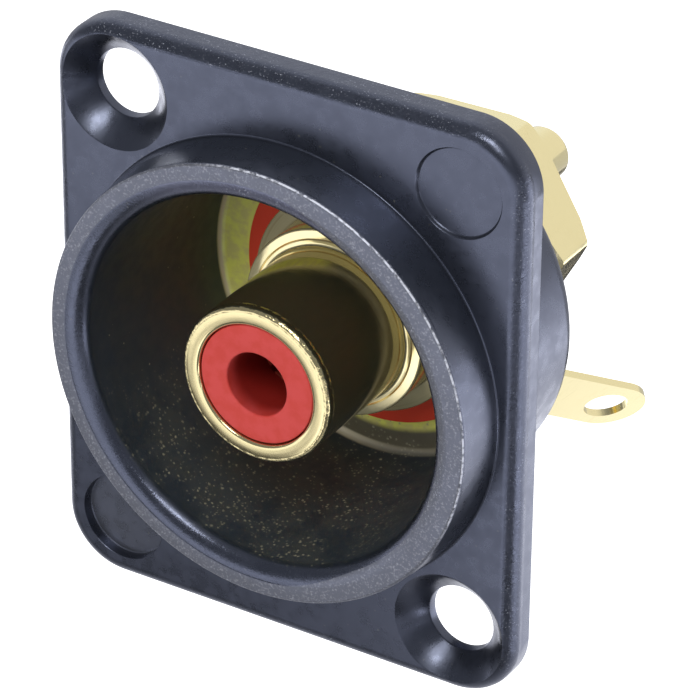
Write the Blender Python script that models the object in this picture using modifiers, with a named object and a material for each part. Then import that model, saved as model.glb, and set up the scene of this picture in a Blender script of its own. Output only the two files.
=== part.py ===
# Panel socket for phono plugs: a die-cast body with a rectangular flange, a raised collar and a deep round
# bowl, and a turned, gold plated jack that stands in the bowl and goes through its floor.
#
# Metres, +Z up. The plug comes in along +Y, so the socket opens towards -Y and is soldered from +Y.
# The origin is on the jack's axis, in the plane of the flange's rear face, which lies on the panel.
#
# Each turned piece is drawn as a profile of (radius, height) points, spun about Z and then laid down so that
# its top points towards -Y. Heights in profiles are therefore the same as -Y in the finished socket.

import math

import bmesh
import bpy

# Flange and its fixing holes
hole_spacing_x = 0.019
hole_spacing_z = 0.024
hole_edge_distance = 0.0035
flange_thickness = 0.0018
flange_corner_radius = 0.0033
flange_edge_round = 0.0008
screw_hole_radius = 0.00178
countersink_radius = 0.003
countersink_angle = math.radians(90)
recess_radius = 0.00235
recess_depth = 0.00055
blank_radius = 0.0023
blank_depth = 0.00018

# Collar in front of the flange, bowl inside it and can behind it
collar_side_margin = 0.00138
bowl_draft = 0.0005
bowl_floor_round = 0.0003
bowl_depth = 0.01164
mouth_blend_width = 0.001
mouth_blend_depth = 0.0008
collar_face_width = 0.00082
collar_draft = 0.00025
collar_edge_round = 0.00018
collar_foot_round = 0.00015
collar_height = 0.00274
can_wall = 0.00085
can_edge_round = 0.0012
floor_thickness = 0.0012

# Clearances between pieces
seat_gap = 0.00005
bore_gap = 0.00005

# Jack body, from the barrel back to the shank
barrel_bore_depth = 0.0095
barrel_wall = 0.00095
barrel_length = 0.00705
lip_outer_round = 0.00035
lip_inner_round = 0.0002
step_width = 0.00088
step_thickness = 0.00235
seat_width = 0.00092
seat_thickness = 0.00145
turned_chamfer = 0.00015
shank_wall = 0.0014
shank_past_nut = 0.0014

# Insulators
front_washer_margin = 0.00135
front_washer_thickness = 0.00045
insert_wall = 0.0009
insert_recess = 0.00015
insert_chamfer = 0.0001
pin_clearance = 0.00005
pin_hole_depth = 0.0033
pin_hole_chamfer = 0.00015
spigot_wall = 0.0011
bushing_shoulder_width = 0.0013
bushing_length = 0.0021
bead_past_shank = 0.0003

# Nut and solder tag
nut_across_flats = 0.0119
nut_hex_length = 0.00305
nut_collar_length = 0.0025
nut_collar_margin = 0.0002
nut_turn = math.radians(31.05)
nut_face_margin = 0.00035
nut_chamfer_angle = math.radians(30)
nut_bore_chamfer = 0.0003
tag_thickness = 0.0004
tag_ring_width = 0.00195
tag_width = 0.00378
tag_direction = math.radians(-43)
tag_bend_radius = 0.0006
tag_reach = 0.00219
tag_bend_angle = math.radians(51)
tag_tongue_length = 0.0079
tag_hole_radius = 0.00115
tag_hole_distance = 0.00584

# Centre contact
contact_bore_radius = 0.00162
contact_bore_depth = 0.0083
contact_wall = 0.00058
contact_end_wall = 0.0005
contact_air_gap = 0.0004
contact_lead_in = 0.0002
contact_slot_width = 0.00035
contact_slot_length = 0.0055
stem_radius = 0.0015
stem_past_shank = 0.0061
stem_end_round = 0.0003
cup_wall = 0.0005
cup_depth = 0.003
scoop_length = 0.0022
scoop_offset = 0.0005
scoop_direction = math.radians(229)

# Fineness of the round forms
body_segments = 72
jack_segments = 48
small_segments = 32
arc_steps = 5
merge_distance = 0.000001
smooth_angle = math.radians(30)
cut_margin = 0.0005

# Outline of the flange, and the radii of the body from the collar inwards
flange_width = hole_spacing_x + 2 * hole_edge_distance
flange_height = hole_spacing_z + 2 * hole_edge_distance
collar_radius = flange_width / 2 - collar_side_margin
mouth_radius = collar_radius - collar_face_width
bowl_radius = mouth_radius - mouth_blend_width
bowl_floor_radius = bowl_radius - bowl_draft
can_radius = bowl_radius + can_wall

# Radii of the contact, of the jack around it and of what fits on the jack, from the axis outwards
contact_sleeve_radius = contact_bore_radius + contact_wall
cup_radius = stem_radius - cup_wall
shank_bore_radius = contact_sleeve_radius + contact_air_gap
shank_radius = shank_bore_radius + shank_wall
pin_hole_radius = contact_bore_radius + pin_clearance
insert_pocket_radius = contact_sleeve_radius + bore_gap
insert_radius = insert_pocket_radius + insert_wall
barrel_bore_radius = insert_radius + bore_gap
barrel_radius = barrel_bore_radius + barrel_wall
step_radius = barrel_radius + step_width
seat_radius = step_radius + seat_width
front_washer_radius = seat_radius + front_washer_margin
shank_fit_radius = shank_radius + bore_gap
spigot_radius = shank_fit_radius + spigot_wall
floor_hole_radius = spigot_radius + bore_gap
bushing_radius = floor_hole_radius + bushing_shoulder_width
tag_ring_radius = shank_fit_radius + tag_ring_width
tag_bend_distance = tag_ring_radius + tag_reach

# Heights of the body, measured towards the front from the panel
collar_face_height = flange_thickness + collar_height
floor_height = collar_face_height - bowl_depth
can_rear_height = floor_height - floor_thickness

# Heights of the jack, which sits on its washer on the floor of the bowl
washer_front_height = floor_height + seat_gap + front_washer_thickness
seat_rear_height = washer_front_height + seat_gap
seat_front_height = seat_rear_height + seat_thickness
step_front_height = seat_front_height + step_thickness
jack_front_height = step_front_height + barrel_length
barrel_bore_height = jack_front_height - barrel_bore_depth

# Heights of what is stacked on the shank behind the can
bushing_front_height = can_rear_height - seat_gap
bushing_rear_height = bushing_front_height - bushing_length
tag_front_height = bushing_rear_height - seat_gap
nut_front_height = tag_front_height - tag_thickness - seat_gap
nut_hex_height = nut_front_height - nut_collar_length
nut_rear_height = nut_hex_height - nut_hex_length
shank_end_height = nut_rear_height - shank_past_nut

# Heights of the pieces inside the jack
insert_front_height = jack_front_height - insert_recess
insert_rear_height = barrel_bore_height + seat_gap
pin_hole_end_height = insert_front_height - pin_hole_depth
contact_front_height = pin_hole_end_height - seat_gap
contact_bore_height = contact_front_height - contact_bore_depth
contact_shoulder_height = contact_bore_height - contact_end_wall
contact_end_height = shank_end_height - stem_past_shank
bead_front_height = contact_shoulder_height - seat_gap
bead_rear_height = shank_end_height - bead_past_shank


def clear_scene():
    for old in list(bpy.data.objects):
        bpy.data.objects.remove(old, do_unlink=True)


def new_collection(name):
    collection = bpy.data.collections.new(name)
    bpy.context.scene.collection.children.link(collection)
    return collection


def new_material(name, color, roughness, metallic):
    material = bpy.data.materials.new(name)
    material.use_nodes = True
    shader = material.node_tree.nodes["Principled BSDF"]
    shader.inputs["Base Color"].default_value = (*color, 1.0)
    shader.inputs["Roughness"].default_value = roughness
    shader.inputs["Metallic"].default_value = metallic
    return material


def new_object(name, mesh, collection, material=None):
    created = bpy.data.objects.new(name, mesh)
    collection.objects.link(created)
    if material is not None:
        mesh.materials.append(material)
    return created


def arc(center_radius, center_height, radius_x, radius_z, start, end):
    """Points of an elliptic arc in a profile, from one angle in degrees to another."""
    points = []
    for step in range(arc_steps + 1):
        angle = math.radians(start + (end - start) * step / arc_steps)
        points.append((center_radius + radius_x * math.cos(angle), center_height + radius_z * math.sin(angle)))
    return points


def lay_down(piece):
    """Turn a lathe piece so that its top points to the front of the socket."""
    piece.rotation_euler = (math.radians(90), 0, 0)


def turned(name, profile, collection, segments, material=None, closed=True):
    """Spin a profile about the axis. A closed profile is a ring, an open one starts and ends on the axis."""
    mesh = bpy.data.meshes.new(name)
    count = len(profile)
    edges = [(index, index + 1) for index in range(count - 1)]
    if closed:
        edges.append((count - 1, 0))
    mesh.from_pydata([(radius, 0, height) for radius, height in profile], edges, [])
    piece = new_object(name, mesh, collection, material)
    screw = piece.modifiers.new("Spin", "SCREW")
    screw.axis = "Z"
    screw.angle = math.radians(360)
    screw.steps = segments
    screw.render_steps = segments
    screw.use_merge_vertices = True
    screw.merge_threshold = merge_distance
    screw.use_smooth_shade = False
    lay_down(piece)
    return piece


def as_cutter(piece):
    piece.hide_render = True
    piece.display_type = "WIRE"
    return piece


def add_boolean(piece, operation, other):
    boolean = piece.modifiers.new(other.name, "BOOLEAN")
    boolean.operation = operation
    boolean.solver = "EXACT"
    boolean.object = other


def cylinder_profile(radius, low, high):
    return [(0, high), (radius, high), (radius, low), (0, low)]


def box_cutter(name, collection, size, center, turn=0.0):
    """A box given in lathe coordinates, turned about the axis and laid down with the piece that it cuts."""
    mesh = bpy.data.meshes.new(name)
    shape = bmesh.new()
    bmesh.ops.create_cube(shape, size=1.0)
    bmesh.ops.scale(shape, vec=size, verts=shape.verts)
    bmesh.ops.translate(shape, vec=center, verts=shape.verts)
    shape.to_mesh(mesh)
    shape.free()
    cutter = as_cutter(new_object(name, mesh, collection))
    cutter.rotation_euler = (math.radians(90), -turn, 0)
    return cutter


def build_flange_plate(cutters):
    """The flange as a block: its upright corners are rounded first, then its front edge all round."""
    mesh = bpy.data.meshes.new("flange_plate")
    shape = bmesh.new()
    bmesh.ops.create_cube(shape, size=1.0)
    bmesh.ops.scale(shape, vec=(flange_width, flange_thickness, flange_height), verts=shape.verts)
    bmesh.ops.translate(shape, vec=(0, -flange_thickness / 2, 0), verts=shape.verts)
    corners = [edge for edge in shape.edges if abs((edge.verts[0].co - edge.verts[1].co).y) > merge_distance]
    bmesh.ops.bevel(shape, geom=corners, offset=flange_corner_radius, segments=2 * arc_steps,
                    profile=0.5, affect="EDGES")
    front = [edge for edge in shape.edges
             if all(vert.co.y < merge_distance - flange_thickness for vert in edge.verts)]
    bmesh.ops.bevel(shape, geom=front, offset=flange_edge_round, segments=arc_steps,
                    profile=0.5, affect="EDGES")
    shape.to_mesh(mesh)
    shape.free()
    plate = as_cutter(new_object("flange_plate", mesh, cutters))
    opening_radius = (bowl_radius + can_radius) / 2
    opening = as_cutter(turned("flange_opening", cylinder_profile(opening_radius, -cut_margin,
                               flange_thickness + cut_margin), cutters, body_segments, closed=False))
    add_boolean(plate, "DIFFERENCE", opening)
    return plate


def housing_profile():
    """Collar, can and bowl in one line: down the outside, across the rear, up the inside."""
    foot_radius = collar_radius + collar_draft
    points = [(mouth_radius, collar_face_height)]
    points += arc(collar_radius - collar_edge_round, collar_face_height - collar_edge_round,
                  collar_edge_round, collar_edge_round, 90, 0)
    points += [
        (foot_radius, flange_thickness + collar_foot_round),
        (foot_radius + collar_foot_round, flange_thickness),
        (foot_radius + collar_foot_round, flange_thickness * 2 / 3),
        (can_radius, flange_thickness / 3),
    ]
    points += arc(can_radius - can_edge_round, can_rear_height + can_edge_round,
                  can_edge_round, can_edge_round, 0, -90)
    points += [(floor_hole_radius, can_rear_height), (floor_hole_radius, floor_height)]
    points += arc(bowl_floor_radius - bowl_floor_round, floor_height + bowl_floor_round,
                  bowl_floor_round, bowl_floor_round, -90, 0)
    points += arc(mouth_radius, collar_face_height - mouth_blend_depth,
                  mouth_blend_width, mouth_blend_depth, 180, 90)[:-1]
    return points


def corner_cutter(name, cutters, side_x, side_z, profile):
    """A small turned cutter, placed at one corner of the flange."""
    cutter = as_cutter(turned(name, profile, cutters, small_segments, closed=False))
    cutter.location = (side_x * hole_spacing_x / 2, 0, side_z * hole_spacing_z / 2)
    return cutter


def screw_hole_profile():
    """A countersunk through hole, opened a little past both faces of the flange."""
    spread = math.tan(countersink_angle / 2)
    cone_end = flange_thickness - (countersink_radius - screw_hole_radius) / spread
    return [
        (0, flange_thickness + cut_margin),
        (countersink_radius + cut_margin * spread, flange_thickness + cut_margin),
        (screw_hole_radius, cone_end),
        (screw_hole_radius, -cut_margin),
        (0, -cut_margin),
    ]


def build_housing(parts, cutters, material):
    housing = turned("housing", housing_profile(), parts, body_segments, material)
    add_boolean(housing, "UNION", build_flange_plate(cutters))
    add_boolean(housing, "DIFFERENCE", corner_cutter("screw_hole_left", cutters, -1, 1, screw_hole_profile()))
    add_boolean(housing, "DIFFERENCE", corner_cutter("screw_hole_right", cutters, 1, -1, screw_hole_profile()))
    face = flange_thickness
    add_boolean(housing, "DIFFERENCE", corner_cutter(
        "recess", cutters, -1, -1, cylinder_profile(recess_radius, face - recess_depth, face + cut_margin)))
    add_boolean(housing, "DIFFERENCE", corner_cutter(
        "blank", cutters, 1, 1, cylinder_profile(blank_radius, face - blank_depth, face + cut_margin)))
    return housing


def build_jack_body(parts, material):
    """Barrel, two steps and shank, bored right through. The rear step is the seat on the front washer."""
    chamfer = turned_chamfer
    points = arc(barrel_radius - lip_outer_round, jack_front_height - lip_outer_round,
                 lip_outer_round, lip_outer_round, 90, 0)
    points += [
        (barrel_radius, step_front_height),
        (step_radius - chamfer, step_front_height),
        (step_radius, step_front_height - chamfer),
        (step_radius, seat_front_height),
        (seat_radius - chamfer, seat_front_height),
        (seat_radius, seat_front_height - chamfer),
        (seat_radius, seat_rear_height + chamfer),
        (seat_radius - chamfer, seat_rear_height),
        (shank_radius, seat_rear_height),
        (shank_radius, shank_end_height + 2 * chamfer),
        (shank_radius - 2 * chamfer, shank_end_height),
        (shank_bore_radius, shank_end_height),
        (shank_bore_radius, barrel_bore_height),
        (barrel_bore_radius, barrel_bore_height),
    ]
    points += arc(barrel_bore_radius + lip_inner_round, jack_front_height - lip_inner_round,
                  lip_inner_round, lip_inner_round, 180, 90)
    return turned("jack_body", points, parts, jack_segments, material)


def build_front_insulator(parts, material):
    """The insert in the barrel: a narrow hole guides the plug's pin into the contact behind it."""
    points = [
        (pin_hole_radius + pin_hole_chamfer, insert_front_height),
        (insert_radius - insert_chamfer, insert_front_height),
        (insert_radius, insert_front_height - insert_chamfer),
        (insert_radius, insert_rear_height),
        (insert_pocket_radius, insert_rear_height),
        (insert_pocket_radius, pin_hole_end_height),
        (pin_hole_radius, pin_hole_end_height),
        (pin_hole_radius, insert_front_height - pin_hole_chamfer),
    ]
    return turned("front_insulator", points, parts, jack_segments, material)


def build_front_washer(parts, material):
    low = floor_height + seat_gap
    points = [
        (shank_fit_radius, washer_front_height),
        (front_washer_radius, washer_front_height),
        (front_washer_radius, low),
        (shank_fit_radius, low),
    ]
    return turned("front_washer", points, parts, jack_segments, material)


def build_rear_bushing(parts, material):
    """Spigot in the floor hole, and a body that spaces the tag from the can."""
    spigot_front = floor_height - seat_gap
    points = [
        (shank_fit_radius, spigot_front),
        (spigot_radius, spigot_front),
        (spigot_radius, bushing_front_height),
        (bushing_radius, bushing_front_height),
        (bushing_radius, bushing_rear_height + turned_chamfer),
        (bushing_radius - turned_chamfer, bushing_rear_height),
        (shank_fit_radius, bushing_rear_height),
    ]
    return turned("rear_bushing", points, parts, jack_segments, material)


def build_rear_insulator(parts, material):
    """The bead in the rear of the shank, which the contact's stem goes through."""
    outer = shank_bore_radius - bore_gap
    inner = stem_radius + bore_gap
    points = [
        (inner, bead_front_height),
        (outer, bead_front_height),
        (outer, bead_rear_height),
        (inner, bead_rear_height),
    ]
    return turned("rear_insulator", points, parts, small_segments, material)


def build_centre_contact(parts, cutters, material):
    """A bored sleeve slotted into four fingers, on a solid stem that ends in a solder cup."""
    cup_end = contact_end_height + cup_depth
    points = [
        (0, contact_bore_height),
        (contact_bore_radius, contact_bore_height),
        (contact_bore_radius, contact_front_height - contact_lead_in),
        (contact_bore_radius + contact_lead_in, contact_front_height),
        (contact_sleeve_radius - turned_chamfer, contact_front_height),
        (contact_sleeve_radius, contact_front_height - turned_chamfer),
        (contact_sleeve_radius, contact_shoulder_height),
        (stem_radius, contact_shoulder_height),
    ]
    points += arc(stem_radius - stem_end_round, contact_end_height + stem_end_round,
                  stem_end_round, stem_end_round, 0, -90)
    points += [(cup_radius, contact_end_height), (cup_radius, cup_end), (0, cup_end)]
    contact = turned("centre_contact", points, parts, small_segments, material, closed=False)

    slot_size = (2 * contact_sleeve_radius + cut_margin, contact_slot_width, contact_slot_length + cut_margin)
    slot_center = (0, 0, contact_front_height + cut_margin - slot_size[2] / 2)
    for index in range(2):
        slot = box_cutter(f"contact_slot_{index}", cutters, slot_size, slot_center, math.radians(45 + 90 * index))
        add_boolean(contact, "DIFFERENCE", slot)

    scoop_size = (2 * stem_radius, 3 * stem_radius, scoop_length + cut_margin)
    scoop_center = (scoop_offset + scoop_size[0] / 2, 0, contact_end_height - cut_margin + scoop_size[2] / 2)
    scoop = box_cutter("cup_scoop", cutters, scoop_size, scoop_center, scoop_direction)
    add_boolean(contact, "DIFFERENCE", scoop)
    return contact


def build_hex_nut(parts, cutters, material):
    """A hexagonal prism cut by a turned blank to a round collar in front and chamfered corners."""
    corner_radius = nut_across_flats / 2 / math.cos(math.radians(30))
    mesh = bpy.data.meshes.new("hex_nut")
    shape = bmesh.new()
    bmesh.ops.create_cone(shape, cap_ends=True, segments=6, radius1=corner_radius, radius2=corner_radius,
                          depth=nut_front_height - nut_rear_height)
    bmesh.ops.translate(shape, vec=(0, 0, (nut_front_height + nut_rear_height) / 2), verts=shape.verts)
    shape.to_mesh(mesh)
    shape.free()
    nut = new_object("hex_nut", mesh, parts, material)
    nut.rotation_euler = (math.radians(90), -nut_turn, 0)

    past_corner = corner_radius + cut_margin
    collar_outer_radius = nut_across_flats / 2 - nut_collar_margin
    face_radius = nut_across_flats / 2 + nut_face_margin
    drop = (past_corner - face_radius) * math.tan(nut_chamfer_angle)
    blank = as_cutter(turned("nut_chamfers", [
        (0, nut_front_height + cut_margin),
        (collar_outer_radius, nut_front_height + cut_margin),
        (collar_outer_radius, nut_hex_height),
        (face_radius, nut_hex_height),
        (past_corner, nut_hex_height - drop),
        (past_corner, nut_rear_height + drop),
        (face_radius - cut_margin / math.tan(nut_chamfer_angle), nut_rear_height - cut_margin),
        (0, nut_rear_height - cut_margin),
    ], cutters, jack_segments, closed=False))
    add_boolean(nut, "INTERSECT", blank)

    flare = cut_margin + nut_bore_chamfer
    bore = as_cutter(turned("nut_bore", [
        (0, nut_front_height + cut_margin),
        (shank_fit_radius + flare, nut_front_height + cut_margin),
        (shank_fit_radius, nut_front_height - nut_bore_chamfer),
        (shank_fit_radius, nut_rear_height + nut_bore_chamfer),
        (shank_fit_radius + flare, nut_rear_height - cut_margin),
        (0, nut_rear_height - cut_margin),
    ], cutters, jack_segments, closed=False))
    add_boolean(nut, "DIFFERENCE", bore)
    return nut


def tag_blank_outline():
    """The outline of the flat blank, along X: a ring that runs into a tongue with a round end."""
    half_width = tag_width / 2
    root_angle = math.asin(half_width / tag_ring_radius)
    points = []
    for step in range(jack_segments + 1):
        angle = root_angle + (2 * math.pi - 2 * root_angle) * step / jack_segments
        points.append((tag_ring_radius * math.cos(angle), tag_ring_radius * math.sin(angle)))
    end_center = tag_bend_distance + tag_tongue_length - half_width
    for step in range(2 * arc_steps + 1):
        angle = -math.pi / 2 + math.pi * step / (2 * arc_steps)
        points.append((end_center + half_width * math.cos(angle), half_width * math.sin(angle)))
    return points


def circle_points(radius, center_x, segments):
    """A circle in the blank's plane, run the other way round for a hole."""
    points = []
    for step in range(segments):
        angle = -2 * math.pi * step / segments
        points.append((center_x + radius * math.cos(angle), radius * math.sin(angle)))
    return points


def flat_blank(name, outlines, thickness, collection):
    """A stamped sheet: closed outlines filled as a flat curve, made a mesh whose caps are welded."""
    curve = bpy.data.curves.new(name, "CURVE")
    curve.dimensions = "2D"
    curve.fill_mode = "BOTH"
    curve.extrude = thickness / 2
    for outline in outlines:
        spline = curve.splines.new("POLY")
        spline.points.add(len(outline) - 1)
        for point, (x, y) in zip(spline.points, outline):
            point.co = (x, y, 0, 1)
        spline.use_cyclic_u = True
    drawn = bpy.data.objects.new(name + "_outline", curve)
    collection.objects.link(drawn)
    evaluated = drawn.evaluated_get(bpy.context.evaluated_depsgraph_get())
    mesh = bpy.data.meshes.new_from_object(evaluated)
    mesh.name = name
    bpy.data.objects.remove(drawn, do_unlink=True)
    return mesh


def bend_blank(shape, start, bend_radius, angle):
    """Bend a flat sheet in the XZ plane: cut it across the bend, then wrap what lies beyond the line."""
    length = bend_radius * angle
    for step in range(arc_steps + 1):
        geometry = shape.verts[:] + shape.edges[:] + shape.faces[:]
        bmesh.ops.bisect_plane(shape, geom=geometry, dist=merge_distance / 10,
                               plane_co=(start + length * step / arc_steps, 0, 0), plane_no=(1, 0, 0))
    for vert in shape.verts:
        past = vert.co.x - start
        if past <= 0:
            continue
        turn = angle * min(past / length, 1)
        straight = max(past - length, 0)
        reach = bend_radius - vert.co.z
        vert.co.x = start + reach * math.sin(turn) + straight * math.cos(turn)
        vert.co.z = bend_radius - reach * math.cos(turn) + straight * math.sin(turn)


def build_solder_tag(parts, material):
    """A flat ring and tongue stamped from sheet, with the tongue bent towards the rear."""
    bend_lead = tag_bend_radius * math.tan(tag_bend_angle / 2)
    bend_start = tag_bend_distance - bend_lead
    stretch = 2 * bend_lead - tag_bend_radius * tag_bend_angle
    hole_center = tag_bend_distance + tag_hole_distance - stretch
    outlines = [
        tag_blank_outline(),
        circle_points(shank_fit_radius, 0, jack_segments),
        circle_points(tag_hole_radius, hole_center, small_segments),
    ]
    mesh = flat_blank("solder_tag", outlines, tag_thickness, parts)
    shape = bmesh.new()
    shape.from_mesh(mesh)
    bmesh.ops.remove_doubles(shape, verts=shape.verts, dist=merge_distance)
    bend_blank(shape, bend_start, tag_bend_radius, tag_bend_angle)
    bmesh.ops.recalc_face_normals(shape, faces=shape.faces)
    shape.to_mesh(mesh)
    shape.free()
    tag = new_object("solder_tag", mesh, parts, material)
    tag.location = (0, -(tag_front_height - tag_thickness / 2), 0)
    tag.rotation_euler = (math.radians(-90), -tag_direction, 0)
    return tag


def smooth_round_pieces(parts):
    """Shade round faces smooth and keep the turned edges sharp."""
    for piece in parts.objects:
        piece.data.shade_smooth()
        piece.data.set_sharp_from_angle(angle=smooth_angle)
        for modifier in piece.modifiers:
            if modifier.type == "SCREW":
                modifier.use_smooth_shade = True


def main():
    clear_scene()
    parts = new_collection("panel_socket")
    cutters = new_collection("cutters")
    black = new_material("black_finish", (0.018, 0.019, 0.022), 0.42, 0.0)
    gold = new_material("gold_plating", (0.86, 0.72, 0.38), 0.22, 1.0)
    red = new_material("red_plastic", (0.60, 0.06, 0.05), 0.45, 0.0)
    white = new_material("white_plastic", (0.80, 0.79, 0.74), 0.50, 0.0)

    build_housing(parts, cutters, black)
    build_jack_body(parts, gold)
    build_front_insulator(parts, red)
    build_front_washer(parts, red)
    build_rear_bushing(parts, red)
    build_solder_tag(parts, gold)
    build_hex_nut(parts, cutters, gold)
    build_rear_insulator(parts, white)
    build_centre_contact(parts, cutters, gold)
    smooth_round_pieces(parts)


main()
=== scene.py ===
import math
import bmesh
import bpy
from mathutils import Matrix, Vector


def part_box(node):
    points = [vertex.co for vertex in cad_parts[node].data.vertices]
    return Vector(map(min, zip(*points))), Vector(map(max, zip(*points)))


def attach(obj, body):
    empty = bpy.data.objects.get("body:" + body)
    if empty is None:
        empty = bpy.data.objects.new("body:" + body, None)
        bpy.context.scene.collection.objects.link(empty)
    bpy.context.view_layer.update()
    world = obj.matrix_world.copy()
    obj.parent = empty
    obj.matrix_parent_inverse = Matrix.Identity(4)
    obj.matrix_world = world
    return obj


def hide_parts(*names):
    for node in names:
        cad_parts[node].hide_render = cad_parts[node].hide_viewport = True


# Panel socket for coaxial plugs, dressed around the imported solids.
# The front of the socket faces -Y and its solder side +Y, as in the frame; sizes are in metres.

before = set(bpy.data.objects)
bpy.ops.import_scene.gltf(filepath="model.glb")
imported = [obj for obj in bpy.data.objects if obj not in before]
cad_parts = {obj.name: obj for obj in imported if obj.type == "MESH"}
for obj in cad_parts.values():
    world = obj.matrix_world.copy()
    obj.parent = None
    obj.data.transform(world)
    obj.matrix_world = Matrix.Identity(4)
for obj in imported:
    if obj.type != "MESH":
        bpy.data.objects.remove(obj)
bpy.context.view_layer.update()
print("frame loaded:", ", ".join(sorted(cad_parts)))

mm = 0.001
mergeDistance = 1e-7


# Front and rear of a node along the jack's axis
def axial(node):
    low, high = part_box(node)
    return low.y, high.y


housingFront, housingRear = axial("housing")
jackFront, jackRear = axial("jack_body")
insertFront, insertRear = axial("front_insulator")
washerFront, washerRear = axial("front_washer")
bushingFront, bushingRear = axial("rear_bushing")
tagFront = axial("solder_tag")[0]
nutFront, nutRear = axial("hex_nut")
beadFront, beadRear = axial("rear_insulator")
contactFront, contactRear = axial("centre_contact")


def deselectAll():
    bpy.ops.object.select_all(action="DESELECT")


def makeActive(piece):
    deselectAll()
    piece.select_set(True)
    bpy.context.view_layer.objects.active = piece


def enterEdit():
    bpy.ops.object.mode_set(mode="EDIT")


def leaveEdit():
    bpy.ops.object.mode_set(mode="OBJECT")


def addBlock(place, size, turn=(0, 0, 0)):
    deselectAll()
    bpy.ops.mesh.primitive_cube_add(size=1, location=place, rotation=turn, scale=size)
    return bpy.context.object


# Select the edges of the mesh in edit mode that pass a test
def selectEdges(test):
    bpy.ops.mesh.select_mode(type="EDGE")
    bpy.ops.mesh.select_all(action="DESELECT")
    shape = bmesh.from_edit_mesh(bpy.context.object.data)
    for edge in shape.edges:
        edge.select_set(bool(test(edge)))
    shape.select_flush_mode()
    bmesh.update_edit_mesh(bpy.context.object.data)


# Merge doubles and turn all faces outwards, still in edit mode
def cleanUp():
    bpy.ops.mesh.select_all(action="SELECT")
    bpy.ops.mesh.remove_doubles(threshold=mergeDistance)
    bpy.ops.mesh.normals_make_consistent(inside=False)


# Profile points (radius, y) on an elliptic arc; angles in degrees from +radius towards +y
def arcPoints(centre, radii, startAngle, endAngle, steps):
    points = []
    for step in range(steps + 1):
        angle = math.radians(startAngle + (endAngle - startAngle) * step / steps)
        points.append((centre[0] + radii[0] * math.cos(angle), centre[1] + radii[1] * math.sin(angle)))
    return points


# Round one profile corner between its two neighbours, as a quadratic curve from tangent to tangent
def rounded(corner, before, after, radius, steps=4):
    point = Vector(corner)
    start = point + (Vector(before) - point).normalized() * radius
    end = point + (Vector(after) - point).normalized() * radius
    points = []
    for step in range(steps + 1):
        t = step / steps
        blend = start * (1 - t) ** 2 + point * 2 * t * (1 - t) + end * t ** 2
        points.append((blend.x, blend.y))
    return points


# Corners are (radius, y) or (radius, y, rounding); returns the profile with its roundings
def roundedProfile(corners, closed=True):
    points = []
    count = len(corners)
    for index, corner in enumerate(corners):
        if len(corner) == 2 or (not closed and index in (0, count - 1)):
            points.append(corner[:2])
            continue
        before = corners[index - 1][:2]
        after = corners[(index + 1) % count][:2]
        points += rounded(corner[:2], before, after, corner[2])
    return points


# Draw a profile vertex by vertex from a single point, then spin it round the Y direction
def spinProfile(name, points, steps, closed=True, centre=(0, 0)):
    deselectAll()
    bpy.ops.mesh.primitive_plane_add(size=mm, location=(0, 0, 0))
    piece = bpy.context.object
    piece.name = name
    piece.data.name = name
    enterEdit()
    bpy.ops.mesh.select_mode(type="VERT")
    bpy.ops.mesh.select_all(action="SELECT")
    bpy.ops.mesh.merge(type="CENTER")
    bpy.ops.transform.translate(value=(points[0][0] + centre[0], points[0][1], centre[1]))
    for before, after in zip(points, points[1:]):
        bpy.ops.mesh.extrude_vertices_move(
            TRANSFORM_OT_translate={"value": (after[0] - before[0], after[1] - before[1], 0)})
    if closed:
        shape = bmesh.from_edit_mesh(piece.data)
        for vert in shape.verts:
            vert.select_set(len(vert.link_edges) == 1)
        bmesh.update_edit_mesh(piece.data)
        bpy.ops.mesh.edge_face_add()
    bpy.ops.mesh.select_all(action="SELECT")
    bpy.ops.mesh.spin(steps=steps, angle=math.tau, center=(centre[0], 0, centre[1]), axis=(0, 1, 0))
    cleanUp()
    leaveEdit()
    return piece


# Join or cut a piece with another one, which is used up
def applyBoolean(piece, operation, other):
    makeActive(piece)
    step = piece.modifiers.new("step", "BOOLEAN")
    step.operation = operation
    step.solver = "EXACT"
    step.object = other
    bpy.ops.object.modifier_apply(modifier=step.name)
    bpy.data.objects.remove(other, do_unlink=True)


def finishPiece(piece, material, node, angle, weighted=False):
    makeActive(piece)
    bpy.ops.object.transform_apply(location=True, rotation=True, scale=True)
    bpy.ops.object.shade_smooth_by_angle(angle=math.radians(angle))
    if weighted:
        step = piece.modifiers.new("weighted", "WEIGHTED_NORMAL")
        step.keep_sharp = True
        step.weight = 100
        bpy.ops.object.modifier_apply(modifier=step.name)
    piece.data.materials.clear()
    piece.data.materials.append(material)
    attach(piece, "root")
    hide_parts(node)
    print("made", piece.name, len(piece.data.polygons), "faces")


def nodeTree(name):
    material = bpy.data.materials.new(name)
    material.use_nodes = True
    tree = material.node_tree
    return material, tree, tree.nodes["Principled BSDF"]


# Add a node; inputs are values, or sockets to link from
def addNode(tree, kind, inputs=None, **settings):
    node = tree.nodes.new(kind)
    for key, value in settings.items():
        setattr(node, key, value)
    for key, value in (inputs or {}).items():
        if isinstance(value, bpy.types.NodeSocket):
            tree.links.new(value, node.inputs[key])
        else:
            node.inputs[key].default_value = value
    return node


# An empty node group of float sockets: its inputs with their values, and its outputs
def newGroup(name, inputs, outputs):
    group = bpy.data.node_groups.new(name, "ShaderNodeTree")
    for label, value in inputs.items():
        group.interface.new_socket(label, in_out="INPUT", socket_type="NodeSocketFloat").default_value = value
    for label in outputs:
        group.interface.new_socket(label, in_out="OUTPUT", socket_type="NodeSocketFloat")
    return group


def useGroup(tree, group, inputs=None):
    return addNode(tree, "ShaderNodeGroup", inputs, node_tree=group)


# A helper that folds two or more values together with one math operation
def folding(operation):
    def fold(tree, first, *others):
        for other in others:
            first = addNode(tree, "ShaderNodeMath", {0: first, 1: other}, operation=operation).outputs[0]
        return first
    return fold


times, plus, larger = folding("MULTIPLY"), folding("ADD"), folding("MAXIMUM")


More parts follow.
